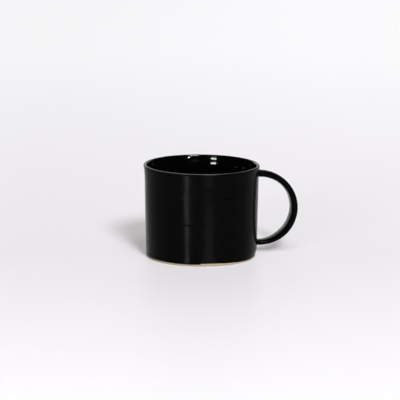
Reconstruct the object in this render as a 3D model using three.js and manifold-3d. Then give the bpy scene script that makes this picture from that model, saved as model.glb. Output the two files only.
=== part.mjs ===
// A stoneware coffee mug: a slightly tapered cup with a thin rounded lip and a bare foot, a strap handle bent to
// a half ring and luted on with slip, a satin glaze over the outside and the handle, and a gloss glaze inside.
// Millimetres, +Z up. The origin is the centre of the flat foot, and the handle points along +X.
import * as THREE from "three";
import { mergeVertices } from "three/addons/utils/BufferGeometryUtils.js";
import Module from "manifold-3d";

// Cup, measured over the glaze
const mugHeight = 74.9;
const rimDiameter = 93.6;
const footDiameter = 89.4;
const wallThickness = 3.7;
const floorThickness = 5.5;
const innerCornerRadius = 7;

// Lip: it leans out a little past the wall's straight taper, and the wall thins towards it
const lipThickness = 2.5;
const lipFlare = 0.5;
const lipFlareHeight = 12;
const wallThinningHeight = 6.7;

// Bare foot
const footEdgeRadius = 0.6;
const glazeLineHeight = 1.7;

// Glaze coats, and the height over which the outer coat's lower edge rounds off
const outerGlazeThickness = 0.4;
const linerGlazeThickness = 0.4;
const glazeEdgeHeight = 0.5;

// Handle: its two roots, the straight stub at each of them and the bow between the stubs, which sags a little
const handleTopDrop = 9.8;
const handleBottomRise = 8.4;
const handleStub = 0.4;
const handleBow = 29.2;
const handleSag = 0.27;

// Strap section, measured over the glaze: a flat oval, squarer than an ellipse
const strapWidth = 13.7;
const strapThickness = 5.5;
const rootWidth = 10.1;
const upperRootThickness = 5.5;
const lowerRootThickness = 4.5;
const strapSquareness = 2.7;

// Slip joints, with the fillet they run into the wall with
const jointLength = 1.6;
const jointFillet = 1.3;
const rootSink = 1.2;

// Clearance between pieces that are cut or lofted to each other
const seatGap = 0.05;

// Facets
const wallFacets = 60;
const lipSteps = 3;
const footSteps = 3;
const cornerSteps = 5;
const bowSteps = 28;
const thinningSteps = 4;
const ovalSteps = 20;
const filletShares = [0, 0.12, 0.4, 1];

// Cup outline: radii of the outer wall by height, over the glaze and on the clay
const rimRadius = rimDiameter / 2;
const footRadius = footDiameter / 2;

function glazedRadius(height) {
  const taper = THREE.MathUtils.lerp(footRadius, rimRadius - lipFlare, height / mugHeight);
  const lean = THREE.MathUtils.smoothstep(height, mugHeight - lipFlareHeight, mugHeight);
  return taper + lipFlare * lean;
}

function clayRadius(height) {
  return glazedRadius(height) - outerGlazeThickness;
}

// Lip: a half round of clay whose crown carries the border between the two glazes
const lipClayRadius = (lipThickness - outerGlazeThickness - linerGlazeThickness) / 2;
const lipHeight = mugHeight - outerGlazeThickness - lipClayRadius;
const lipMiddle = clayRadius(lipHeight) - lipClayRadius;

// Inside of the clay: a wall that thins towards the lip, a round corner and a flat floor
const wallClay = wallThickness - outerGlazeThickness - linerGlazeThickness;
const floorClay = floorThickness - linerGlazeThickness;
const cornerClayRadius = innerCornerRadius + linerGlazeThickness;
const cornerHeight = floorClay + cornerClayRadius;
const thinningStart = lipHeight - wallThinningHeight;

function innerClayRadius(height) {
  const share = THREE.MathUtils.smoothstep(height, thinningStart, lipHeight);
  return clayRadius(height) - THREE.MathUtils.lerp(wallClay, 2 * lipClayRadius, share);
}

const cornerMiddle = innerClayRadius(cornerHeight) - cornerClayRadius;
const flareStart = mugHeight - lipFlareHeight;
const outerHeights = [glazeLineHeight, flareStart, (flareStart + lipHeight) / 2, lipHeight];
const thinningHeights = Array.from({ length: thinningSteps }, (_, step) =>
  THREE.MathUtils.lerp(lipHeight, thinningStart, (step + 1) / thinningSteps),
);
const innerHeights = [...thinningHeights, cornerHeight];

function arc(x, y, across, up, fromAngle, toAngle, steps) {
  return new THREE.EllipseCurve(x, y, across, up, fromAngle, toAngle, toAngle < fromAngle).getPoints(steps);
}

// The outside from the glaze line up to the lip's crown, with a coat of the given thickness on the clay
function outsideLine(coat) {
  const wall = outerHeights.map((height) => new THREE.Vector2(clayRadius(height) + coat, height));
  const radius = lipClayRadius + coat;
  const lip = arc(lipMiddle, lipHeight, radius, radius, 0, Math.PI / 2, lipSteps);
  return [...wall, ...lip.slice(1)];
}

// The inside from the lip's crown down to the middle of the floor, with a coat on the clay
function insideLine(coat) {
  const radius = lipClayRadius + coat;
  const lip = arc(lipMiddle, lipHeight, radius, radius, Math.PI / 2, Math.PI, lipSteps);
  const wall = innerHeights.map((height) => new THREE.Vector2(innerClayRadius(height) - coat, height));
  const turn = cornerClayRadius - coat;
  const corner = arc(cornerMiddle, cornerHeight, turn, turn, 0, -Math.PI / 2, cornerSteps);
  return [...lip, ...wall, ...corner.slice(1), new THREE.Vector2(0, floorClay + coat)];
}

function revolve(profile) {
  return new THREE.LatheGeometry(profile, wallFacets).rotateX(Math.PI / 2);
}

function clayBody() {
  const edgeMiddle = clayRadius(footEdgeRadius) - footEdgeRadius;
  const edge = arc(edgeMiddle, footEdgeRadius, footEdgeRadius, footEdgeRadius, -Math.PI / 2, 0, footSteps);
  const middle = new THREE.Vector2(0, 0);
  return revolve([middle, ...edge, ...outsideLine(0), ...insideLine(0).slice(1)]);
}

function linerGlaze() {
  return revolve([...insideLine(0).reverse(), ...insideLine(linerGlazeThickness)]);
}

// The outer coat on the wall alone, closed on itself along the clay
function wallCoat() {
  const edgeTop = glazeLineHeight + glazeEdgeHeight;
  const edgeRadius = clayRadius(glazeLineHeight);
  const edge = arc(edgeRadius, edgeTop, outerGlazeThickness, glazeEdgeHeight, -Math.PI / 2, 0, footSteps);
  const clay = outsideLine(0).reverse();
  const loop = [...edge.slice(1), ...outsideLine(outerGlazeThickness).slice(1), ...clay];
  return revolve([...loop, loop[0].clone()]);
}

// A solid plug out to the wall, which cuts handle pieces back to it
function wallPlug() {
  const heights = [0, ...outerHeights.slice(1)];
  const wall = heights.map((height) => new THREE.Vector2(clayRadius(height) + seatGap, height));
  return revolve([new THREE.Vector2(0, 0), ...wall, new THREE.Vector2(0, lipHeight)]);
}

// Handle path, in the plane through the mug's axis
const topHeight = mugHeight - handleTopDrop;
const bottomHeight = handleBottomRise;
const bowMiddle = (topHeight + bottomHeight) / 2;
const bowRise = (topHeight - bottomHeight) / 2;
const bowStart = Math.max(clayRadius(topHeight), clayRadius(bottomHeight)) + jointLength + handleStub;
const upperRoot = { height: topHeight, up: 1, thickness: upperRootThickness };
const lowerRoot = { height: bottomHeight, up: -1, thickness: lowerRootThickness };

// Stations on the straight stub at a root, at distances from the clay wall
function stubStations(root, distances) {
  return distances.map((distance) => ({
    middle: new THREE.Vector3(clayRadius(root.height) + distance, 0, root.height),
    out: new THREE.Vector3(0, 0, root.up),
    width: rootWidth,
    thickness: root.thickness,
  }));
}

// Stations round the bow, where the strap is broadest half way
function bowStations() {
  return Array.from({ length: bowSteps + 1 }, (_, step) => {
    const angle = Math.PI * (0.5 - step / bowSteps);
    const cos = Math.cos(angle);
    const sin = Math.sin(angle);
    const root = sin > 0 ? upperRoot : lowerRoot;
    const out = new THREE.Vector3(bowRise * cos, 0, handleBow * sin).normalize();
    const middle = new THREE.Vector3(bowStart + handleBow * cos, 0, bowMiddle + bowRise * sin);
    return {
      middle: middle.addScaledVector(out, -handleSag * Math.sin(2 * angle)),
      out,
      width: THREE.MathUtils.lerp(rootWidth, strapWidth, cos * cos),
      thickness: THREE.MathUtils.lerp(root.thickness, strapThickness, cos * cos),
    };
  });
}

// Shares of the half width and half thickness round the oval
function ovalShares() {
  const bend = (value) => Math.sign(value) * Math.abs(value) ** (2 / strapSquareness);
  return Array.from({ length: ovalSteps }, (_, step) => {
    const angle = (2 * Math.PI * step) / ovalSteps;
    return { across: bend(Math.cos(angle)), out: bend(Math.sin(angle)) };
  });
}

const oval = ovalShares();

// How far the fillet swells a section at a distance from the wall
function filletSwell(distance) {
  const rest = jointFillet - THREE.MathUtils.clamp(distance, 0, jointFillet);
  return jointFillet - Math.sqrt(jointFillet * jointFillet - rest * rest);
}

// One section of the handle, with a coat on the clay, swollen into the fillet where it nears the wall
function section(station, coat) {
  const pointAt = (share, grown) =>
    station.middle
      .clone()
      .addScaledVector(station.out, share.out * (station.thickness / 2 + grown))
      .setY(share.across * (station.width / 2 + grown));
  return oval.map((share) => {
    const grown = coat - outerGlazeThickness;
    const point = pointAt(share, grown);
    const wallRadius = clayRadius(point.z) + coat;
    const distance = point.x - Math.sqrt(wallRadius * wallRadius - point.y * point.y);
    return pointAt(share, grown + filletSwell(distance));
  });
}

// A closed skin over a row of sections, with a flat cap on each end
function loft(stations, coat) {
  const rings = stations.map((station) => section(station, coat));
  const count = oval.length;
  const points = [...rings.flat(), stations[0].middle, stations.at(-1).middle];
  const firstCap = rings.length * count;
  const faces = [];
  for (let side = 0; side < count; side += 1) {
    const next = (side + 1) % count;
    const lastRing = firstCap - count;
    faces.push(firstCap, next, side);
    faces.push(firstCap + 1, lastRing + side, lastRing + next);
    for (let ring = 0; ring + 1 < rings.length; ring += 1) {
      const here = ring * count;
      const there = here + count;
      faces.push(here + side, here + next, there + side);
      faces.push(here + next, there + next, there + side);
    }
  }
  return new THREE.BufferGeometry().setFromPoints(points).setIndex(faces);
}

// Distances from the clay wall at which a root's sections stand, for a coat of the given thickness
function rootDistances(coat) {
  return [-rootSink, ...filletShares.map((share) => coat + share * jointFillet)];
}

function wholeHandle(coat) {
  const distances = rootDistances(coat);
  const upper = stubStations(upperRoot, distances);
  const lower = stubStations(lowerRoot, distances).reverse();
  return loft([...upper, ...bowStations(), ...lower], coat);
}

function handleStrap() {
  const end = [jointLength + seatGap];
  return loft([...stubStations(upperRoot, end), ...bowStations(), ...stubStations(lowerRoot, end)], 0);
}

function slipJoint(root) {
  const stations = stubStations(root, [...rootDistances(0), jointLength]);
  return loft(root.up > 0 ? stations : stations.reverse(), 0);
}

// Joins and cuts
const wasm = await Module();
wasm.setup();

function solidOf(geometry) {
  const bare = geometry.clone();
  bare.deleteAttribute("normal");
  bare.deleteAttribute("uv");
  const merged = mergeVertices(bare);
  const vertProperties = merged.getAttribute("position").array;
  const triVerts = new Uint32Array(merged.index.array);
  return new wasm.Manifold(new wasm.Mesh({ numProp: 3, vertProperties, triVerts }));
}

function geometryOf(solid) {
  const { vertProperties, triVerts } = solid.getMesh();
  const geometry = new THREE.BufferGeometry();
  geometry.setAttribute("position", new THREE.BufferAttribute(vertProperties, 3));
  geometry.setIndex(new THREE.BufferAttribute(triVerts, 1));
  return geometry;
}

const plug = solidOf(wallPlug());

function seatedJoint(root) {
  return geometryOf(solidOf(slipJoint(root)).subtract(plug));
}

// One film over the wall and the handle, hollow where the joints and the strap run inside it
function outerGlaze() {
  const handleCoat = solidOf(wholeHandle(outerGlazeThickness)).subtract(plug);
  const film = solidOf(wallCoat()).add(handleCoat);
  return geometryOf(film.subtract(solidOf(wholeHandle(seatGap))));
}

// Finishes
const bareClay = new THREE.MeshStandardMaterial({ color: 0xbaa88f, roughness: 0.9, metalness: 0 });
const satinGlaze = new THREE.MeshStandardMaterial({ color: 0x1b1a1a, roughness: 0.42, metalness: 0 });
const glossGlaze = new THREE.MeshStandardMaterial({ color: 0x060607, roughness: 0.08, metalness: 0 });

const mug = new THREE.Group();

function addPiece(name, geometry, material) {
  geometry.computeVertexNormals();
  const piece = new THREE.Mesh(geometry, material);
  piece.name = name;
  mug.add(piece);
}

addPiece("clay_body", clayBody(), bareClay);
addPiece("handle_strap", handleStrap(), bareClay);
addPiece("upper_slip_joint", seatedJoint(upperRoot), bareClay);
addPiece("lower_slip_joint", seatedJoint(lowerRoot), bareClay);
addPiece("outer_glaze", outerGlaze(), satinGlaze);
addPiece("liner_glaze", linerGlaze(), glossGlaze);

export default mug;
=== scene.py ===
import math

import bmesh
import bpy
from mathutils import Matrix, Vector, noise


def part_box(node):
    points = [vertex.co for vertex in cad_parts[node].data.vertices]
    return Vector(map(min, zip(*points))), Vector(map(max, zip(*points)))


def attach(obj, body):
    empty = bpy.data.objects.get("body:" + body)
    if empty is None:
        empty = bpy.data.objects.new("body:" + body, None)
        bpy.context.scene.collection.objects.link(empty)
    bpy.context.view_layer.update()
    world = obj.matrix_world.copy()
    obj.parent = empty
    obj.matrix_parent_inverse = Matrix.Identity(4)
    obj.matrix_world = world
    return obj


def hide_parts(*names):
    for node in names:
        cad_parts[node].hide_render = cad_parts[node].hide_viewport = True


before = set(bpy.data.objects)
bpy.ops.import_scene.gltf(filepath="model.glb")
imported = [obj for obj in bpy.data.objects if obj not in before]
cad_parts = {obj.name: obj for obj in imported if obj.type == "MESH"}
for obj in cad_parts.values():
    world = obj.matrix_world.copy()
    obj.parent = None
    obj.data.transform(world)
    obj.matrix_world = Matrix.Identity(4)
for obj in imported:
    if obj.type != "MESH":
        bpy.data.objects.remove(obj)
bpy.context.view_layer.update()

MM = 0.001

# Sizes read from the boxes of the coats and the clay
coat_low, coat_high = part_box("outer_glaze")
clay_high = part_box("clay_body")[1]
liner_low, liner_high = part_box("liner_glaze")
MUG_HEIGHT = coat_high.z
RIM_RADIUS = coat_high.y
GLAZE = RIM_RADIUS - clay_high.y
LIP_MIDDLE = liner_high.y
LIP_HALF = RIM_RADIUS - LIP_MIDDLE
LIP_HEIGHT = MUG_HEIGHT - LIP_HALF
CLAY_FLOOR = liner_low.z
GLAZE_LINE = coat_low.z
HANDLE_END = coat_high.x

# Cup, as the part's source gives it but for a finer turn inside the lip
FOOT_RADIUS = 44.7 * MM
LIP_FLARE = 0.5 * MM
LIP_FLARE_HEIGHT = 12 * MM
WALL = 3.8 * MM
LIP_THINNING_HEIGHT = 7.8 * MM
LIP_THINNING_OVERRUN = 1.0 * MM
LIP_TURN = 13
INNER_CORNER = 7 * MM
FOOT_EDGE = 0.6 * MM

# Handle, as the part's source gives it but for the lower arm, which keeps its width further down
HANDLE_TOP_DROP = 9.8 * MM
HANDLE_BOTTOM_RISE = 8.4 * MM
HANDLE_BOW = 29.2 * MM
HANDLE_SAG = 0.27 * MM
STRAP_WIDTH = 13.7 * MM
STRAP_THICKNESS = 5.5 * MM
STRAP_SQUARENESS = 2.7
LOWER_ARM_BREADTH = 0.6
LOWER_ARM_TAPER = 8
ROOT_WIDTH = 10.1 * MM
UPPER_ROOT_THICKNESS = 5.5 * MM
LOWER_ROOT_THICKNESS = 4.5 * MM
ROOT_FILLET = 1.3 * MM

# Rim: how far it dips, and which way, turned from the handle
RIM_DIP = 0.9 * MM
RIM_DIP_TURN = math.radians(25)
RIM_DIP_WAY = Vector((math.cos(RIM_DIP_TURN), math.sin(RIM_DIP_TURN), 0))

# Lip: where it pales, by height from the crown, partly as glaze thinning and partly as a painted
# highlight, and how that painted highlight fades to the right
LIP_PALE_AND_HIGHLIGHT_START = -0.45 * MM
LIP_PALE_AND_HIGHLIGHT_FULL = 0.2 * MM
LIP_RAGGED = 0.4 * MM
LIP_HIGHLIGHT_LEFT_END = 5 * MM
LIP_HIGHLIGHT_RIGHT_START = 20 * MM
LIP_HIGHLIGHT_RIGHT_SHARE = 0.35

# Marks of the hand; angles are degrees round the mug from the side that faces the camera
GLAZE_LINE_WAVER = 0.25 * MM
GLAZE_LINE_SLOW_SHARE = 0.6
GLAZE_LINE_SLOW_WAVES = 2
GLAZE_LINE_SLOW_PHASE = 2.4
GLAZE_LINE_QUICK_WAVES = 5
GLAZE_LINE_QUICK_PHASE = 0.5
GLAZE_LINE_FADE = 5 * MM
BARE_PATCH_RISE = 0.75 * MM
BARE_PATCH_START = -2.5
BARE_PATCH_EDGE = 3
BARE_PATCH_FULL = 5
BARE_PATCH_END = 55
HOLLOWS_END = 7 * MM
HANDLE_FADE = 3 * MM
RING_PITCH = 9 * MM
RING_DEPTH = 0.018 * MM
RING_SLANT = 1.2
RING_WANDER = 2
DENT_HEIGHT = 34.5 * MM
DENT_DEPTH = 0.22 * MM
DENT_REACH = 1.4 * MM
DENT_START = -45
DENT_END = 15
SCRATCH_HEIGHT = 53.7 * MM
SCRATCH_DEPTH = 0.08 * MM
SCRATCH_REACH = 0.7 * MM
SCRATCH_START = 10
SCRATCH_END = 37
SCRATCH_TAIL = 3
FLAT_HEIGHT = 53 * MM
FLAT_DEPTH = 0.09 * MM
FLAT_REACH = 8 * MM
FLAT_TURN = -14
FLAT_WIDTH = 6.4
FOOT_PRESS_DEPTH = 0.95 * MM
FOOT_PRESS_SKIN = 1 * MM
FOOT_PRESS_INSIDE = 8 * MM
FOOT_PRESS_FULL = 2 * MM
FOOT_PRESS_HEIGHT = 6.5 * MM
FOOT_PRESS_START = 35
FOOT_PRESS_END = 155
SWELL_SIZE = 25 * MM
SWELL_DEPTH = 0.05 * MM
SWELL_CROWDING = 1.5
BEAD_TURN = -167
BEAD_DROP = 2.8 * MM
BEAD_REACH = 1.3 * MM
BEAD_HEIGHT = 0.48 * MM
STRAP_WAVER_SIZE = 12 * MM
STRAP_WAVER = 0.05 * MM
SPIRAL_PITCH = 7 * MM
SPIRAL_DEPTH = 0.15 * MM
WIRE_PITCH = 4 * MM
WIRE_DEPTH = 0.12 * MM
WIRE_END = 4 * MM
WIRE_FADE = 2 * MM
WIRE_POLE = Vector((-1.5, 0.8, 0)) * FOOT_RADIUS

# How finely the pieces are divided, and where their edges are sharp
SHARP_ANGLE = math.radians(50)
WELD_DISTANCE = 0.001 * MM
TURN_STEPS = 240
ROW_HEIGHT = 0.6 * MM
LIP_STEPS = 7
CORNER_STEPS = 14
GLAZE_EDGE_STEPS = 4
FOOT_EDGE_STEPS = 5
STRAP_POINTS = 48
FILLET_STEPS = 7
BOW_STEPS = 72

# View: the camera stands to the left of the handle's side, a little above the rim
CAMERA_AZIMUTH = math.radians(-13.44)
CAMERA_ELEVATION = math.radians(11.48)
CAMERA_DISTANCE = 2.0
CAMERA_TILT = math.radians(0.2145)
CAMERA_PAN = math.radians(0.035)
CAMERA_ROLL = math.radians(0.11)
CAMERA_LENS = 223.4
VIEW_DIRECTION = (-math.sin(CAMERA_AZIMUTH), math.cos(CAMERA_AZIMUTH), 0.0)
SIDE_DIRECTION = (math.cos(CAMERA_AZIMUTH), math.sin(CAMERA_AZIMUTH), 0.0)

# Board: where its painted shade begins and ends in metres, how much the painted shade darkens it to the
# left, and its glow
BOARD_FRONT = -0.5
BOARD_BACK = 1.2
BOARD_SIDE = 0.16
BOARD_LEFT_SHADE_SHARE = 0.945
BOARD_GLOW = 0.2


def smoothstep(low, high, value):
    share = min(max((value - low) / (high - low), 0.0), 1.0)
    return share * share * (3 - 2 * share)


def between(start, end, value):
    """Rises from 0 at the start to 1 half way, and falls to 0 at the end."""
    middle = (start + end) / 2
    return smoothstep(start, middle, value) * (1 - smoothstep(middle, end, value))


def spaced(start, end, step):
    count = max(1, round(abs(end - start) / step))
    return [start + (end - start) * i / count for i in range(count + 1)]


def arc(middle, radius, start, end, steps):
    turn = [math.radians(start + (end - start) * i / steps) for i in range(steps + 1)]
    return [(middle[0] + radius * math.cos(a), middle[1] + radius * math.sin(a)) for a in turn]


# Outline of the cup by height
def glazed_radius(z):
    taper = FOOT_RADIUS + (RIM_RADIUS - LIP_FLARE - FOOT_RADIUS) * z / MUG_HEIGHT
    return taper + LIP_FLARE * smoothstep(MUG_HEIGHT - LIP_FLARE_HEIGHT, MUG_HEIGHT, z)


LIP_JOIN = LIP_HEIGHT + LIP_HALF * math.sin(math.radians(LIP_TURN))
LIP_JOIN_RADIUS = LIP_MIDDLE - LIP_HALF * math.cos(math.radians(LIP_TURN))


def thinning(z):
    return smoothstep(LIP_HEIGHT - LIP_THINNING_HEIGHT, LIP_HEIGHT + LIP_THINNING_OVERRUN, z)


def inner_radius(z):
    thinned = WALL - (glazed_radius(LIP_JOIN) - LIP_JOIN_RADIUS)
    return glazed_radius(z) - WALL + thinned * thinning(z) / thinning(LIP_JOIN)


FLOOR = CLAY_FLOOR + GLAZE
CORNER_HEIGHT = FLOOR + INNER_CORNER
CORNER_MIDDLE = inner_radius(CORNER_HEIGHT) - INNER_CORNER


def outside_line(coat, start):
    """Points up the wall from a height to the lip's crown, with coat as the glaze left on the clay."""
    wall = [(glazed_radius(z) - GLAZE + coat, z) for z in spaced(start, LIP_HEIGHT, ROW_HEIGHT)]
    lip = arc((LIP_MIDDLE, LIP_HEIGHT), LIP_HALF - GLAZE + coat, 0, 90, LIP_STEPS)
    return wall[:-1] + lip


def inside_line(coat):
    """Points from the lip's crown down the inside to the middle of the floor."""
    lip = arc((LIP_MIDDLE, LIP_HEIGHT), LIP_HALF - GLAZE + coat, 90, 180 - LIP_TURN, LIP_STEPS)
    thinned = spaced(LIP_JOIN, LIP_HEIGHT - LIP_THINNING_HEIGHT, ROW_HEIGHT / 2)
    straight = spaced(LIP_HEIGHT - LIP_THINNING_HEIGHT, CORNER_HEIGHT, 2 * ROW_HEIGHT)
    wall = [(inner_radius(z) + GLAZE - coat, z) for z in thinned[:-1] + straight]
    corner = arc((CORNER_MIDDLE, CORNER_HEIGHT), INNER_CORNER + GLAZE - coat, 0, -90, CORNER_STEPS)
    bottom = [(r, CLAY_FLOOR + coat) for r in spaced(CORNER_MIDDLE, 0, 2 * ROW_HEIGHT)]
    return lip + wall[1:-1] + corner + bottom[1:]


def turned(points):
    """A bmesh with the outline spun round the mug's axis."""
    bm = bmesh.new()
    verts = [bm.verts.new((r, 0, z)) for r, z in points]
    edges = [bm.edges.new(pair) for pair in zip(verts, verts[1:])]
    bmesh.ops.spin(bm, geom=verts + edges, cent=(0, 0, 0), axis=(0, 0, 1), angle=math.tau,
                   steps=TURN_STEPS, use_merge=True)
    bmesh.ops.remove_doubles(bm, verts=bm.verts, dist=WELD_DISTANCE)
    bmesh.ops.recalc_face_normals(bm, faces=bm.faces)
    return bm


def finished(bm, name, material, body, *nodes):
    """Makes the bmesh an object with its material, which rides on the body and stands for the nodes."""
    mesh = bpy.data.meshes.new(name)
    bm.to_mesh(mesh)
    bm.free()
    mesh.shade_smooth()
    mesh.set_sharp_from_angle(angle=SHARP_ANGLE)
    mesh.materials.append(material)
    piece = bpy.data.objects.new(name, mesh)
    bpy.context.scene.collection.objects.link(piece)
    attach(piece, body)
    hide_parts(*nodes)
    return piece


# Materials
def linear(hex_colour):
    """An sRGB hex colour as a linear one with full alpha."""
    parts = [int(hex_colour[i:i + 2], 16) / 255 for i in (1, 3, 5)]
    return [c / 12.92 if c <= 0.04045 else ((c + 0.055) / 1.055) ** 2.4 for c in parts] + [1.0]


def per_metre(size_in_mm):
    """The texture scale at which one feature measures that size on Object coordinates in metres."""
    return 1 / (size_in_mm * MM)


def node(tree, kind, settings=None, inputs=None):
    """Adds a node: settings are its properties, and inputs are values or sockets to link from."""
    made = tree.nodes.new(kind)
    for key, value in (settings or {}).items():
        setattr(made, key, value)
    for key, value in (inputs or {}).items():
        if isinstance(value, bpy.types.NodeSocket):
            tree.links.new(value, made.inputs[key])
        else:
            made.inputs[key].default_value = value
    return made


def new_material(name):
    material = bpy.data.materials.new(name)
    material.use_nodes = True
    tree = material.node_tree
    tree.nodes.clear()
    return material, tree


def along(tree, place, direction):
    """A socket with how far a place lies along a direction."""
    product = node(tree, "ShaderNodeVectorMath", {"operation": "DOT_PRODUCT"}, {0: place, 1: direction})
    return product.outputs["Value"]


def above_rim(tree, place):
    """A socket with the height above the rim's crown, which dips towards the handle."""
    slant = RIM_DIP_WAY * RIM_DIP / (2 * RIM_RADIUS) + Vector((0, 0, 1))
    return node(tree, "ShaderNodeMath", {"operation": "SUBTRACT"},
                {0: along(tree, place, slant), 1: MUG_HEIGHT - RIM_DIP / 2}).outputs[0]


def satin_black_glaze():
    """Satin black stoneware glaze, dipped and fired: near black with a soft sheen that wavers a little.
    It pales over the lip where the glaze thins, and a painted highlight there fades to the right.
    Painted shade darkens it along its scratch."""
    material, tree = new_material("satin_black_glaze")
    place = node(tree, "ShaderNodeTexCoord").outputs["Object"]
    level = above_rim(tree, place)
    cloud = node(tree, "ShaderNodeTexNoise",
                 inputs={"Vector": place, "Scale": per_metre(9), "Detail": 3.0})
    drawn_out = node(tree, "ShaderNodeVectorMath", {"operation": "MULTIPLY"},
                     {0: place, 1: (0.02, 0.02, 1)})
    lines = node(tree, "ShaderNodeTexNoise",
                 inputs={"Vector": drawn_out.outputs[0], "Scale": per_metre(0.9), "Detail": 1.0})
    ragged = node(tree, "ShaderNodeMath", {"operation": "MULTIPLY_ADD"},
                  {0: cloud.outputs["Fac"], 1: LIP_RAGGED, 2: level})
    # Painted highlight: the lip's paleness is partly the glaze thinning over the crown and partly a
    # highlight, weaker to the right
    thin_glaze_and_highlight = node(tree, "ShaderNodeMapRange", {"interpolation_type": "SMOOTHSTEP"},
                {"Value": ragged.outputs[0], "From Min": LIP_PALE_AND_HIGHLIGHT_START, "From Max": LIP_PALE_AND_HIGHLIGHT_FULL})
    painted_highlight_side_share = node(tree, "ShaderNodeMapRange", {"interpolation_type": "SMOOTHSTEP"},
                      {"Value": along(tree, place, SIDE_DIRECTION),
                       "From Min": LIP_HIGHLIGHT_LEFT_END, "From Max": LIP_HIGHLIGHT_RIGHT_START,
                       "To Min": 1.0, "To Max": LIP_HIGHLIGHT_RIGHT_SHARE})
    pale = node(tree, "ShaderNodeMath", {"operation": "MULTIPLY"},
                {0: thin_glaze_and_highlight.outputs[0], 1: painted_highlight_side_share.outputs[0]})
    body = node(tree, "ShaderNodeMix", {"data_type": "RGBA"},
                {"Factor": cloud.outputs["Fac"], "A": linear("#030303"), "B": linear("#050505")})
    # Painted shade: along the scratch the colour goes black, which darkens it beyond what its groove
    # does
    scratch = node(tree, "ShaderNodeAttribute", {"attribute_name": "scratch"})
    scratch_shaded = node(tree, "ShaderNodeMix", {"data_type": "RGBA"},
                  {"Factor": scratch.outputs["Fac"], "A": body.outputs["Result"],
                   "B": linear("#000000")})
    colour = node(tree, "ShaderNodeMix", {"data_type": "RGBA"},
                  {"Factor": pale.outputs[0], "A": scratch_shaded.outputs["Result"], "B": linear("#5a5756")})
    rough = node(tree, "ShaderNodeMapRange",
                 inputs={"Value": cloud.outputs["Fac"], "To Min": 0.17, "To Max": 0.23})
    bump = node(tree, "ShaderNodeBump",
                inputs={"Height": lines.outputs["Fac"], "Strength": 1.0, "Distance": 0.03 * MM})
    shader = node(tree, "ShaderNodeBsdfPrincipled",
                  inputs={"Base Color": colour.outputs["Result"], "Roughness": rough.outputs[0],
                          "IOR": 1.5, "Specular IOR Level": 0.03, "Normal": bump.outputs[0]})
    node(tree, "ShaderNodeOutputMaterial", inputs={"Surface": shader.outputs[0]})
    return material


def gloss_black_glaze():
    """Glossy black liner glaze: a wet-looking black that mirrors the lamps, with a faint ripple."""
    material, tree = new_material("gloss_black_glaze")
    place = node(tree, "ShaderNodeTexCoord").outputs["Object"]
    ripple = node(tree, "ShaderNodeTexNoise",
                  inputs={"Vector": place, "Scale": per_metre(6), "Detail": 2.0})
    colour = node(tree, "ShaderNodeMix", {"data_type": "RGBA"},
                  {"Factor": ripple.outputs["Fac"], "A": linear("#010101"), "B": linear("#030303")})
    rough = node(tree, "ShaderNodeMapRange",
                 inputs={"Value": ripple.outputs["Fac"], "To Min": 0.04, "To Max": 0.09})
    bump = node(tree, "ShaderNodeBump",
                inputs={"Height": ripple.outputs["Fac"], "Strength": 0.15, "Distance": 0.05 * MM})
    shader = node(tree, "ShaderNodeBsdfPrincipled",
                  inputs={"Base Color": colour.outputs["Result"], "Roughness": rough.outputs[0],
                          "IOR": 1.5, "Specular IOR Level": 0.4, "Normal": bump.outputs[0]})
    node(tree, "ShaderNodeOutputMaterial", inputs={"Surface": shader.outputs[0]})
    return material


def bare_stoneware():
    """Bare fired stoneware, wiped clean before the firing: matt, gritty buff clay with dark specks."""
    material, tree = new_material("bare_stoneware")
    place = node(tree, "ShaderNodeTexCoord").outputs["Object"]
    cloud = node(tree, "ShaderNodeTexNoise",
                 inputs={"Vector": place, "Scale": per_metre(7), "Detail": 4.0})
    grit = node(tree, "ShaderNodeTexNoise",
                inputs={"Vector": place, "Scale": per_metre(0.35), "Detail": 3.0})
    cells = node(tree, "ShaderNodeTexVoronoi", inputs={"Vector": place, "Scale": per_metre(1.3)})
    speck = node(tree, "ShaderNodeMapRange",
                 inputs={"Value": cells.outputs["Distance"], "From Min": 0.16, "From Max": 0.1})
    clay = node(tree, "ShaderNodeMix", {"data_type": "RGBA"},
                {"Factor": cloud.outputs["Fac"], "A": linear("#a08e77"), "B": linear("#b3a28a")})
    colour = node(tree, "ShaderNodeMix", {"data_type": "RGBA"},
                  {"Factor": speck.outputs[0], "A": clay.outputs["Result"], "B": linear("#6b5a47")})
    bump = node(tree, "ShaderNodeBump",
                inputs={"Height": grit.outputs["Fac"], "Strength": 0.5, "Distance": 0.08 * MM})
    shader = node(tree, "ShaderNodeBsdfPrincipled",
                  inputs={"Base Color": colour.outputs["Result"], "Roughness": 0.88, "IOR": 1.5,
                          "Specular IOR Level": 0.3, "Normal": bump.outputs[0]})
    node(tree, "ShaderNodeOutputMaterial", inputs={"Surface": shader.outputs[0]})
    return material


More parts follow.
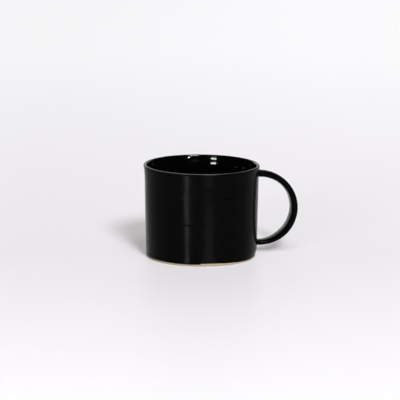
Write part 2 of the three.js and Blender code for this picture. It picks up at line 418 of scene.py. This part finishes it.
def pale_board():
    """The pale satin board that the mug stands on, with painted shade that makes it a little greyer
    round the mug and to the left, a faint soft mirror image, and a glow to the eye that keeps its
    shadows light."""
    material, tree = new_material("pale_board")
    place = node(tree, "ShaderNodeTexCoord").outputs["Object"]
    share = node(tree, "ShaderNodeMapRange",
                 inputs={"Value": along(tree, place, VIEW_DIRECTION),
                         "From Min": BOARD_FRONT, "From Max": BOARD_BACK})
    # Painted shade: the ramp makes the board darker round the mug than in front of it and behind it
    shade = node(tree, "ShaderNodeValToRGB", inputs={"Fac": share.outputs[0]})
    stops = shade.color_ramp.elements
    stops[0].color = linear("#f1f0f1")
    stops[1].color = linear("#f2f2f3")
    middle = stops.new(-BOARD_FRONT / (BOARD_BACK - BOARD_FRONT))
    middle.color = linear("#e0dee1")
    shade.color_ramp.interpolation = "LINEAR"
    # Painted shade: the board darkens towards the left
    painted_left_shade = node(tree, "ShaderNodeMapRange",
                inputs={"Value": along(tree, place, SIDE_DIRECTION),
                        "From Min": -BOARD_SIDE, "From Max": BOARD_SIDE,
                        "To Min": BOARD_LEFT_SHADE_SHARE, "To Max": 1.0})
    colour = node(tree, "ShaderNodeVectorMath", {"operation": "SCALE"},
                  {0: shade.outputs["Color"], "Scale": painted_left_shade.outputs[0]})
    ray = node(tree, "ShaderNodeLightPath").outputs
    mirrored = node(tree, "ShaderNodeMath", {"operation": "MAXIMUM"},
                    {0: ray["Is Glossy Ray"], 1: ray["Is Transmission Ray"]})
    seen = node(tree, "ShaderNodeMath", {"operation": "MAXIMUM"},
                {0: ray["Is Camera Ray"], 1: mirrored.outputs[0]})
    glow = node(tree, "ShaderNodeMath", {"operation": "MULTIPLY"},
                {0: seen.outputs[0], 1: BOARD_GLOW})
    shader = node(tree, "ShaderNodeBsdfPrincipled",
                  inputs={"Base Color": colour.outputs[0], "Roughness": 0.4, "IOR": 1.5,
                          "Specular IOR Level": 0.075, "Emission Color": colour.outputs[0],
                          "Emission Strength": glow.outputs[0]})
    node(tree, "ShaderNodeOutputMaterial", inputs={"Surface": shader.outputs[0]})
    return material


SATIN = satin_black_glaze()
GLOSS = gloss_black_glaze()
CLAY = bare_stoneware()


# Handle
TOP = MUG_HEIGHT - HANDLE_TOP_DROP
BOTTOM = HANDLE_BOTTOM_RISE
BOW_MIDDLE = (TOP + BOTTOM) / 2
BOW_RISE = (TOP - BOTTOM) / 2
BOW_START = HANDLE_END - HANDLE_BOW - STRAP_THICKNESS / 2


def oval_share(value):
    """Bends a cosine or sine so that the oval comes out squarer than an ellipse."""
    return math.copysign(abs(value) ** (2 / STRAP_SQUARENESS), value)


def section(width, thickness, swell=0.0):
    """Points round the strap: across it, and out from its middle line."""
    turns = [math.tau * i / STRAP_POINTS for i in range(STRAP_POINTS)]
    return [((width / 2 + swell) * oval_share(math.cos(turn)),
             (thickness / 2 + swell) * oval_share(math.sin(turn))) for turn in turns]


def root_ring(height, up, distance, swell, flat):
    """A ring at a root, off the wall; flat turns it from the wall's curve to the bow's plane."""
    thickness = UPPER_ROOT_THICKNESS if up > 0 else LOWER_ROOT_THICKNESS
    ring = []
    for y, out in section(ROOT_WIDTH, thickness, swell):
        z = height + up * out
        off_wall = math.sqrt(glazed_radius(z) ** 2 - y * y) + distance
        ring.append(Vector((off_wall + (BOW_START - off_wall) * flat, y, z)))
    return ring


def bow_ring(angle):
    """A ring round the bow at an angle up from its outermost point; it narrows towards both roots."""
    cos, sin = math.cos(angle), math.sin(angle)
    outward = Vector((BOW_RISE * cos, 0, HANDLE_BOW * sin)).normalized()
    middle = Vector((BOW_START + HANDLE_BOW * cos, 0, BOW_MIDDLE + BOW_RISE * sin))
    middle -= outward * HANDLE_SAG * math.sin(2 * angle)
    root_thickness = UPPER_ROOT_THICKNESS if sin > 0 else LOWER_ROOT_THICKNESS
    upper_share = cos * cos
    lower_share = 1 + LOWER_ARM_BREADTH * sin ** 2 - (1 + LOWER_ARM_BREADTH) * sin ** LOWER_ARM_TAPER
    width = ROOT_WIDTH + (STRAP_WIDTH - ROOT_WIDTH) * (upper_share if sin > 0 else lower_share)
    thickness = root_thickness + (STRAP_THICKNESS - root_thickness) * cos * cos
    return [middle + outward * out + Vector((0, y, 0)) for y, out in section(width, thickness)]


def root_rings(height, up):
    """Rings from the wall out to the bow, through the fillet."""
    rings = []
    for i in range(FILLET_STEPS + 1):
        turn = math.pi / 2 * i / FILLET_STEPS
        swell = ROOT_FILLET * (1 - math.sin(turn))
        distance = ROOT_FILLET * (1 - math.cos(turn))
        rings.append(root_ring(height, up, distance, swell, flat=0))
    rings.append(root_ring(height, up, ROOT_FILLET, swell=0, flat=0.5))
    return rings


def handle_rings():
    bow = [bow_ring(math.pi * (0.5 - i / BOW_STEPS)) for i in range(BOW_STEPS + 1)]
    return root_rings(TOP, 1) + bow + root_rings(BOTTOM, -1)[::-1]


def open_wall(bm, height):
    """Cuts the wall open where the handle joins it, and returns the edges round the opening."""
    half_width = ROOT_WIDTH / 2 + ROOT_FILLET + ROW_HEIGHT
    half_height = UPPER_ROOT_THICKNESS / 2 + ROOT_FILLET + ROW_HEIGHT
    inside = []
    for face in bm.faces:
        middle = face.calc_center_median()
        reach = math.hypot(middle.y / half_width, (middle.z - height) / half_height)
        if middle.x > 0 and reach < 1:
            inside.append(face)
    rim = {edge for face in inside for edge in face.edges}
    rim = [edge for edge in rim if any(face not in inside for face in edge.link_faces)]
    bmesh.ops.delete(bm, geom=inside, context="FACES")
    return rim


def add_handle(bm):
    """Draws the strap out of the upper opening, round the bow and into the lower one."""
    rings = handle_rings()
    upper = open_wall(bm, TOP)
    lower = open_wall(bm, BOTTOM)
    verts = bmesh.ops.create_circle(bm, segments=STRAP_POINTS, radius=1)["verts"]
    edges = list({edge for vert in verts for edge in vert.link_edges})
    for vert, place in zip(verts, rings[0]):
        vert.co = place
    bmesh.ops.bridge_loops(bm, edges=upper + edges)
    for ring in rings[1:]:
        made = bmesh.ops.extrude_edge_only(bm, edges=edges)["geom"]
        fresh = {item for item in made if isinstance(item, bmesh.types.BMVert)}
        edges = [item for item in made if isinstance(item, bmesh.types.BMEdge)
                 and item.verts[0] in fresh and item.verts[1] in fresh]
        verts = [next(edge.other_vert(vert) for edge in vert.link_edges
                      if edge.other_vert(vert) in fresh) for vert in verts]
        for vert, place in zip(verts, ring):
            vert.co = place
    bmesh.ops.bridge_loops(bm, edges=lower + edges)
    bmesh.ops.recalc_face_normals(bm, faces=bm.faces)


# Marks of the hand
def camera_angle(place):
    """Degrees round the mug from the side that faces the camera, to the camera's right."""
    turn = math.degrees(math.atan2(place.y, place.x) - CAMERA_AZIMUTH) + 90
    return (turn + 180) % 360 - 180


def on_wall(place):
    """1 on the wall and inside it, falling to 0 a little way out along the handle."""
    beyond = math.hypot(place.x, place.y) - glazed_radius(place.z)
    return 1 - smoothstep(0, HANDLE_FADE, beyond)


def glaze_line_rise(place):
    """How far the glaze stops above or below its usual line."""
    degrees = camera_angle(place)
    turn = math.radians(degrees)
    slow = math.sin(GLAZE_LINE_SLOW_WAVES * turn + GLAZE_LINE_SLOW_PHASE)
    quick = math.sin(GLAZE_LINE_QUICK_WAVES * turn + GLAZE_LINE_QUICK_PHASE)
    waver = GLAZE_LINE_SLOW_SHARE * slow + (1 - GLAZE_LINE_SLOW_SHARE) * quick
    patch = smoothstep(BARE_PATCH_START, BARE_PATCH_START + BARE_PATCH_EDGE, degrees)
    patch *= 1 - smoothstep(BARE_PATCH_FULL, BARE_PATCH_END, degrees)
    return GLAZE_LINE_WAVER * (waver - 1) + BARE_PATCH_RISE * patch


def scratch_share(place):
    """How much of the scratch lies at a place: a level line, deepest towards its right end."""
    degrees = camera_angle(place)
    third = (SCRATCH_END - SCRATCH_START) / 3
    length_share = smoothstep(SCRATCH_START, SCRATCH_END - third, degrees)
    length_share *= 1 - smoothstep(SCRATCH_END - SCRATCH_TAIL, SCRATCH_END, degrees)
    across = (place.z - SCRATCH_HEIGHT) / SCRATCH_REACH
    return math.exp(-across * across) * length_share


def wall_unevenness(place):
    """The thrown wall's small hollows, always inward: rings, swells, a flat, a dent and a scratch."""
    turn = math.atan2(place.y, place.x)
    around = Vector((math.cos(turn), math.sin(turn), place.z / SWELL_SIZE))
    swell = noise.noise(SWELL_CROWDING * around)
    lag = RING_SLANT * math.sin(turn) + RING_WANDER * swell
    rings = math.sin(math.tau * place.z / RING_PITCH + lag)
    reach = (place.z - DENT_HEIGHT) / DENT_REACH
    dent = math.exp(-reach * reach) * between(DENT_START, DENT_END, camera_angle(place))
    up = (place.z - FLAT_HEIGHT) / FLAT_REACH
    aside = (camera_angle(place) - FLAT_TURN) / FLAT_WIDTH
    flat = math.exp(-up * up - aside * aside)
    hollows = RING_DEPTH * (rings - 1) + SWELL_DEPTH * (swell - 1) - FLAT_DEPTH * flat
    return hollows - DENT_DEPTH * dent - SCRATCH_DEPTH * scratch_share(place)


def dip_rim(bm, start):
    """Slants the rim a little, from a height upward: most on the handle's side, none across from it."""
    for vert in bm.verts:
        share = (1 + vert.co.dot(RIM_DIP_WAY) / RIM_RADIUS) / 2
        share *= smoothstep(start, LIP_HEIGHT, vert.co.z)
        vert.co.z -= RIM_DIP * share * on_wall(vert.co)


def press_by_hand(bm):
    """Gives the coat its waver: the wall's hollows, which fade out up the lip, and the strap's own."""
    bm.normal_update()
    scratch_shade_layer = bm.verts.layers.float.new("scratch")
    for vert in bm.verts:
        place = vert.co.copy()
        outward = vert.normal.copy()
        radius = math.hypot(place.x, place.y)
        wall_share = on_wall(place)
        below_lip = 1 - smoothstep(MUG_HEIGHT - HOLLOWS_END, LIP_HEIGHT, place.z)
        inward = wall_unevenness(place) * wall_share * below_lip
        vert.co.x += place.x / radius * inward
        vert.co.y += place.y / radius * inward
        near_line = 1 - smoothstep(GLAZE_LINE, GLAZE_LINE + GLAZE_LINE_FADE, place.z)
        vert.co.z += glaze_line_rise(place) * near_line * wall_share
        waver = STRAP_WAVER * (noise.noise(place / STRAP_WAVER_SIZE) - 1)
        vert.co += outward * waver * (1 - wall_share)
        # The scratch's share, which the glaze reads to paint shade along it
        vert[scratch_shade_layer] = scratch_share(place) * wall_share


def press_foot(bm):
    """Draws the wall in a little at the foot on the handle's side, as if smoothed with a thumb."""
    for vert in bm.verts:
        radius = math.hypot(vert.co.x, vert.co.y)
        beyond = radius - glazed_radius(vert.co.z)
        outside = smoothstep(-FOOT_PRESS_INSIDE, -FOOT_PRESS_SKIN, beyond) * on_wall(vert.co)
        low = 1 - smoothstep(FOOT_PRESS_FULL, FOOT_PRESS_HEIGHT, vert.co.z)
        around = between(FOOT_PRESS_START, FOOT_PRESS_END, camera_angle(vert.co))
        shrink = 1 - FOOT_PRESS_DEPTH * outside * low * around / max(radius, MM)
        vert.co.x *= shrink
        vert.co.y *= shrink


def raise_bead(bm):
    """Raises one small bead of glaze on the inside, just under the lip."""
    turn = math.radians(BEAD_TURN) + CAMERA_AZIMUTH - math.pi / 2
    height = MUG_HEIGHT - BEAD_DROP
    inward = -Vector((math.cos(turn), math.sin(turn), 0))
    middle = Vector((0, 0, height)) - inward * inner_radius(height)
    for vert in bm.verts:
        reach = (vert.co - middle).length / BEAD_REACH
        vert.co += inward * BEAD_HEIGHT * math.exp(-reach * reach)


def throw_spiral(bm):
    """Draws the thrower's shallow spiral on the floor inside the mug."""
    for vert in bm.verts:
        radius = math.hypot(vert.co.x, vert.co.y)
        on_floor = smoothstep(CLAY_FLOOR, FLOOR, vert.co.z) * between(0, CORNER_MIDDLE, radius)
        turn = math.atan2(vert.co.y, vert.co.x) + math.tau * radius / SPIRAL_PITCH
        vert.co.z += SPIRAL_DEPTH * (math.sin(turn) - 1) / 2 * on_floor


def cut_underside(bm):
    """Leaves the cutting wire's curved ridges under the mug, inside the flat ring that it stands on."""
    end = FOOT_RADIUS - WIRE_END
    for vert in bm.verts:
        radius = math.hypot(vert.co.x, vert.co.y)
        under = 1 - smoothstep(end - WIRE_FADE, end, radius)
        under *= 1 - smoothstep(0, FOOT_EDGE, vert.co.z)
        wave = math.sin(math.tau * (vert.co - WIRE_POLE).length / WIRE_PITCH)
        vert.co.z += WIRE_DEPTH * (1 + wave) / 2 * under


# Pieces
def outer_coat():
    """The satin coat over the wall and the handle, from the glaze line to the lip's crown."""
    edge_middle = (glazed_radius(GLAZE_LINE) - GLAZE, GLAZE_LINE + GLAZE)
    edge = arc(edge_middle, GLAZE, -90, 0, GLAZE_EDGE_STEPS)
    bm = turned(edge[:-1] + outside_line(GLAZE, GLAZE_LINE + GLAZE))
    add_handle(bm)
    press_by_hand(bm)
    press_foot(bm)
    dip_rim(bm, TOP + UPPER_ROOT_THICKNESS / 2 + ROOT_FILLET)
    piece = finished(bm, "satin_coat", SATIN, "root", "outer_glaze")
    thickness = piece.modifiers.new("thickness", "SOLIDIFY")
    thickness.thickness = GLAZE
    thickness.offset = -1


def liner():
    """The glossy coat inside, from the lip's crown to the floor."""
    bm = turned(inside_line(GLAZE) + inside_line(0)[::-1] + inside_line(GLAZE)[:1])
    throw_spiral(bm)
    raise_bead(bm)
    dip_rim(bm, 0)
    piece = finished(bm, "gloss_liner", GLOSS, "root", "liner_glaze")


def clay_cup():
    """The clay under both coats, which shows only at the foot and under the mug."""
    edge_middle = (glazed_radius(FOOT_EDGE) - GLAZE - FOOT_EDGE, FOOT_EDGE)
    foot = [(r, 0) for r in spaced(0, edge_middle[0], 1.5 * ROW_HEIGHT)]
    edge = arc(edge_middle, FOOT_EDGE, -90, 0, FOOT_EDGE_STEPS)
    bm = turned(foot[:-1] + edge[:-1] + outside_line(0, FOOT_EDGE) + inside_line(0)[1:])
    cut_underside(bm)
    press_foot(bm)
    dip_rim(bm, 0)
    piece = finished(bm, "clay_cup", CLAY, "root", "clay_body")


outer_coat()
liner()
clay_cup()
for hidden in ("handle_strap", "upper_slip_joint", "lower_slip_joint"):
    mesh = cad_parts[hidden].data
    mesh.materials.clear()
    mesh.materials.append(CLAY)


# Stage
MUG_MIDDLE = Vector((0, 0, MUG_HEIGHT / 2))
FLOOR_HALF = 12.0
FAR_LAMP_DISTANCE = 3.0
WINDOW_AZIMUTH = -26.7
STREAK_STEP = 0.06
STREAK_HEIGHT = 1 * MM


def floor():
    bm = bmesh.new()
    bmesh.ops.create_grid(bm, x_segments=1, y_segments=1, size=FLOOR_HALF)
    mesh = bpy.data.meshes.new("floor")
    bm.to_mesh(mesh)
    bm.free()
    mesh.materials.append(pale_board())
    piece = bpy.data.objects.new("floor", mesh)
    bpy.context.scene.collection.objects.link(piece)


def from_camera(azimuth, elevation, distance):
    """A place seen from the mug: degrees to the camera's right, degrees up, metres away."""
    turn = CAMERA_AZIMUTH - math.pi / 2 + math.radians(azimuth)
    rise = math.radians(elevation)
    away = Vector((math.cos(rise) * math.cos(turn), math.cos(rise) * math.sin(turn), math.sin(rise)))
    return MUG_MIDDLE + away * distance


def set_lamp(light, azimuth, elevation, distance, colour):
    """Hangs a lamp so that it shines at the mug."""
    light.color = linear(colour)[:3]
    holder = bpy.data.objects.new(light.name, light)
    holder.location = from_camera(azimuth, elevation, distance)
    holder.rotation_euler = (MUG_MIDDLE - holder.location).to_track_quat("-Z", "Y").to_euler()
    holder.visible_camera = False
    bpy.context.scene.collection.objects.link(holder)
    return holder


def far_lamp(name, azimuth, elevation, spread, strength, colour="#ffffff"):
    """A large lamp far off, which lights the whole board alike; spread is its width in degrees."""
    light = bpy.data.lights.new(name, "SUN")
    light.energy = strength
    light.angle = math.radians(spread)
    return set_lamp(light, azimuth, elevation, FAR_LAMP_DISTANCE, colour)


def softbox(name, azimuth, elevation, distance, width, height, watts, colour="#ffffff"):
    """A flat lamp of a width and a height in metres, turned to the mug."""
    light = bpy.data.lights.new(name, "AREA")
    light.shape = "RECTANGLE"
    light.size = width
    light.size_y = height
    light.energy = watts
    return set_lamp(light, azimuth, elevation, distance, colour)


def glow_streak(name, start, azimuth, near, far, spread, brightness, fade):
    """Strip lamps end to end, flat on the board, which show only as a soft streak in the glaze.
    They lie along the track that the camera sees mirrored from a start, and widen away from it.
    A fade above 0 dims those near the start."""
    distances = spaced(near, far, STREAK_STEP)
    for low, high in zip(distances, distances[1:]):
        middle = (low + high) / 2
        light = bpy.data.lights.new(name, "AREA")
        light.shape = "RECTANGLE"
        light.size = spread * (middle + RIM_RADIUS / 2)
        light.size_y = high - low
        light.energy = brightness * light.size * light.size_y * (middle / far) ** fade
        holder = bpy.data.objects.new(name, light)
        holder.location = start + from_camera(azimuth, 0, middle) - MUG_MIDDLE
        holder.location.z = STREAK_HEIGHT
        holder.rotation_euler = (math.pi, 0, CAMERA_AZIMUTH + math.radians(azimuth))
        holder.visible_camera = False
        holder.visible_diffuse = False
        bpy.context.scene.collection.objects.link(holder)


def wall_streak(name, azimuth, near, far, spread, brightness, fade):
    """A streak down the wall's front."""
    on_front = from_camera(azimuth / 2, 0, RIM_RADIUS)
    glow_streak(name, on_front, azimuth, near, far, spread, brightness, fade)


def strap_streak(name, near, far, spread, brightness, fade):
    """A streak on the strap's inner face, which mirrors the board behind the mug."""
    inner_face = Vector((HANDLE_END - STRAP_THICKNESS, 0, 0))
    azimuth = 180 - 2 * math.degrees(CAMERA_AZIMUTH)
    glow_streak(name, inner_face, azimuth, near, far, spread, brightness, fade)


def surroundings():
    """A pale wall behind the mug; the rest of the room is dark."""
    world = bpy.data.worlds.new("studio")
    world.use_nodes = True
    tree = world.node_tree
    tree.nodes.clear()
    way = node(tree, "ShaderNodeTexCoord").outputs["Generated"]
    level = node(tree, "ShaderNodeMapRange", {"interpolation_type": "SMOOTHSTEP"},
                 {"Value": along(tree, way, VIEW_DIRECTION), "From Min": 0.5, "From Max": 0.9,
                  "To Min": 0.01, "To Max": 0.8})
    glow = node(tree, "ShaderNodeBackground",
                inputs={"Color": linear("#fffcfb"), "Strength": level.outputs[0]})
    node(tree, "ShaderNodeOutputWorld", inputs={"Surface": glow.outputs[0]})
    bpy.context.scene.world = world


def camera():
    lens = bpy.data.cameras.new("camera")
    lens.lens = CAMERA_LENS
    lens.sensor_width = 36
    lens.clip_end = 100
    holder = bpy.data.objects.new("camera", lens)
    turn = (Matrix.Rotation(CAMERA_AZIMUTH + CAMERA_PAN, 4, "Z")
            @ Matrix.Rotation(math.pi / 2 - CAMERA_ELEVATION + CAMERA_TILT, 4, "X")
            @ Matrix.Rotation(CAMERA_ROLL, 4, "Z"))
    place = from_camera(0, math.degrees(CAMERA_ELEVATION), CAMERA_DISTANCE)
    holder.matrix_world = Matrix.Translation(place) @ turn
    bpy.context.scene.collection.objects.link(holder)
    bpy.context.scene.camera = holder


floor()
surroundings()
far_lamp("key_right", azimuth=15.5, elevation=34.3, spread=13, strength=2.9, colour="#f7f8fd")
overhead = far_lamp("overhead", azimuth=12, elevation=64, spread=36, strength=1.11, colour="#fffbf8")
overhead.visible_glossy = False
window = softbox("window_left", azimuth=WINDOW_AZIMUTH, elevation=16, distance=1.5,
                 width=0.3, height=0.42, watts=4.5)
window.visible_glossy = False

# Lamps and cards that show only as mirror images in the glaze
mirrored_lamps = [
    softbox("window_pane", azimuth=WINDOW_AZIMUTH, elevation=20.3, distance=1.5,
            width=0.285, height=0.19, watts=4.1, colour="#f3fff6"),
    softbox("card_behind", azimuth=206.9, elevation=5, distance=1.2,
            width=0.5, height=0.4, watts=0.8),
    softbox("card_at_handle", azimuth=170, elevation=2, distance=0.131,
            width=0.055, height=0.036, watts=0.009),
    softbox("lamp_right", azimuth=27, elevation=40, distance=1.5,
            width=0.1, height=0.3, watts=8.75),
]
for lamp in mirrored_lamps:
    lamp.visible_diffuse = False
wall_streak("streak_left", azimuth=-30, near=0.004, far=0.26, spread=0.094, brightness=62, fade=0.4)
wall_streak("streak_right", azimuth=15.2, near=0.004, far=0.2, spread=0.3, brightness=6.8, fade=0)
strap_streak("streak_strap", near=0.06, far=0.6, spread=0.4, brightness=3.8, fade=0)
camera()
bpy.context.scene.view_settings.view_transform = "Standard"
